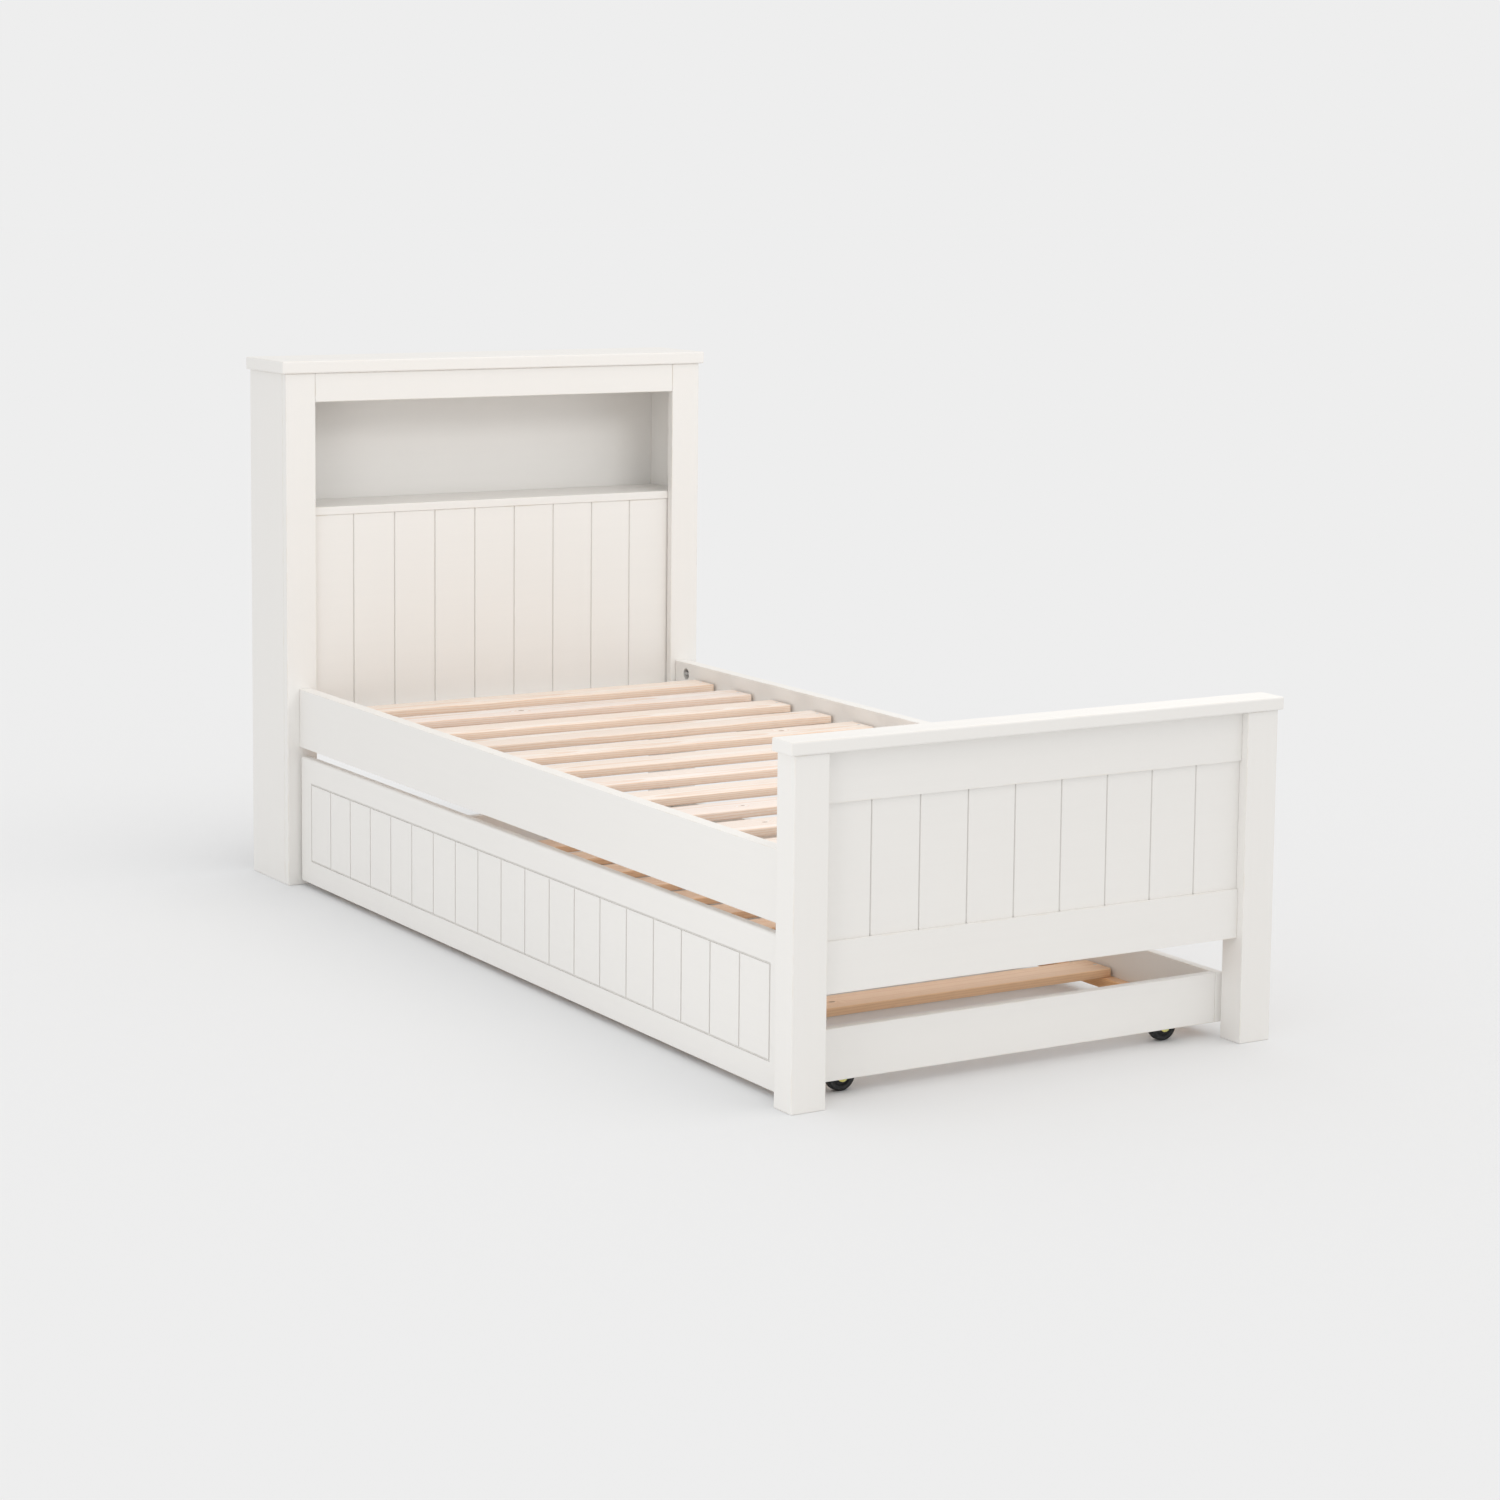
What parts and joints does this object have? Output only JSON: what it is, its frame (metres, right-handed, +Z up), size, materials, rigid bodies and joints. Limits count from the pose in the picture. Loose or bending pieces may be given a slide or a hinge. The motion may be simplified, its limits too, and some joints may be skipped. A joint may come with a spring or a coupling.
{
  "type": "trundle bed",
  "caption": "Single wooden bed with an open-shelf headboard, panelled ends, a slatted base and a rolling slatted trundle underneath.",
  "frame": {"origin": "on the floor, at the centre of the bed's overall length and width", "axes": "+Z up; +Y along the bed towards the headboard; the trundle rolls out towards -X"},
  "size_m": [1.044, 2.262, 1.141],
  "materials": {
    "white_paint": "satin off-white paint on wood",
    "pine": "planed, unfinished pine",
    "black_rubber": "matt black solid tyre",
    "yellow_zinc": "yellow zinc-plated steel"
  },
  "bodies": {
    "bed": {"bed_slat_01": "pine", "bed_slat_02": "pine", "bed_slat_03": "pine", "bed_slat_04": "pine", "bed_slat_05": "pine", "bed_slat_06": "pine", "bed_slat_07": "pine", "bed_slat_08": "pine", "bed_slat_09": "pine", "bed_slat_10": "pine", "bed_slat_11": "pine", "bed_slat_12": "pine", "foot_boards": "white_paint", "foot_bottom_rail": "white_paint", "foot_cap": "white_paint", "foot_post_left": "white_paint", "foot_post_right": "white_paint", "foot_top_rail": "white_paint", "head_back_panel": "white_paint", "head_boards": "white_paint", "head_bottom_rail": "white_paint", "head_cap": "white_paint", "head_shelf": "white_paint", "head_side_left": "white_paint", "head_side_right": "white_paint", "head_stile_left": "white_paint", "head_stile_right": "white_paint", "head_top_rail": "white_paint", "side_rail_left": "white_paint", "side_rail_right": "white_paint", "slat_ledger_left": "white_paint", "slat_ledger_right": "white_paint"},
    "trundle": {"castor_bracket_foot_back": "yellow_zinc", "castor_bracket_foot_front": "yellow_zinc", "castor_bracket_head_back": "yellow_zinc", "castor_bracket_head_front": "yellow_zinc", "trundle_back": "white_paint", "trundle_end_foot": "white_paint", "trundle_end_head": "white_paint", "trundle_front": "white_paint", "trundle_ledger_back": "pine", "trundle_ledger_front": "pine", "trundle_slat_01": "pine", "trundle_slat_02": "pine", "trundle_slat_03": "pine", "trundle_slat_04": "pine", "trundle_slat_05": "pine", "trundle_slat_06": "pine", "trundle_slat_07": "pine", "trundle_slat_08": "pine", "trundle_slat_09": "pine", "trundle_slat_10": "pine", "trundle_slat_11": "pine"},
    "wheel_foot_back": {"castor_wheel_foot_back": "black_rubber"},
    "wheel_foot_front": {"castor_wheel_foot_front": "black_rubber"},
    "wheel_head_back": {"castor_wheel_head_back": "black_rubber"},
    "wheel_head_front": {"castor_wheel_head_front": "black_rubber"}
  },
  "joints": [
    {"name": "trundle_slide", "type": "slide", "parent": "bed", "child": "trundle", "axis": [-1, 0, 0], "range_m": [0, 0.96]},
    {"name": "wheel_spin_foot_back", "type": "hinge", "parent": "trundle", "child": "wheel_foot_back", "pos_m": [0.339, -1.0317, 0.028], "axis": [0, 1, 0], "continuous": true},
    {"name": "wheel_spin_foot_front", "type": "hinge", "parent": "trundle", "child": "wheel_foot_front", "pos_m": [-0.356, -1.0317, 0.028], "axis": [0, 1, 0], "continuous": true},
    {"name": "wheel_spin_head_back", "type": "hinge", "parent": "trundle", "child": "wheel_head_back", "pos_m": [0.339, 0.9007, 0.028], "axis": [0, 1, 0], "continuous": true},
    {"name": "wheel_spin_head_front", "type": "hinge", "parent": "trundle", "child": "wheel_head_front", "pos_m": [-0.356, 0.9007, 0.028], "axis": [0, 1, 0], "continuous": true}
  ],
  "couplings": [
    {"joint": "wheel_spin_foot_back", "follows": "trundle_slide", "rad_per_m": -35.714},
    {"joint": "wheel_spin_foot_front", "follows": "trundle_slide", "rad_per_m": -35.714},
    {"joint": "wheel_spin_head_back", "follows": "trundle_slide", "rad_per_m": -35.714},
    {"joint": "wheel_spin_head_front", "follows": "trundle_slide", "rad_per_m": -35.714}
  ]
}
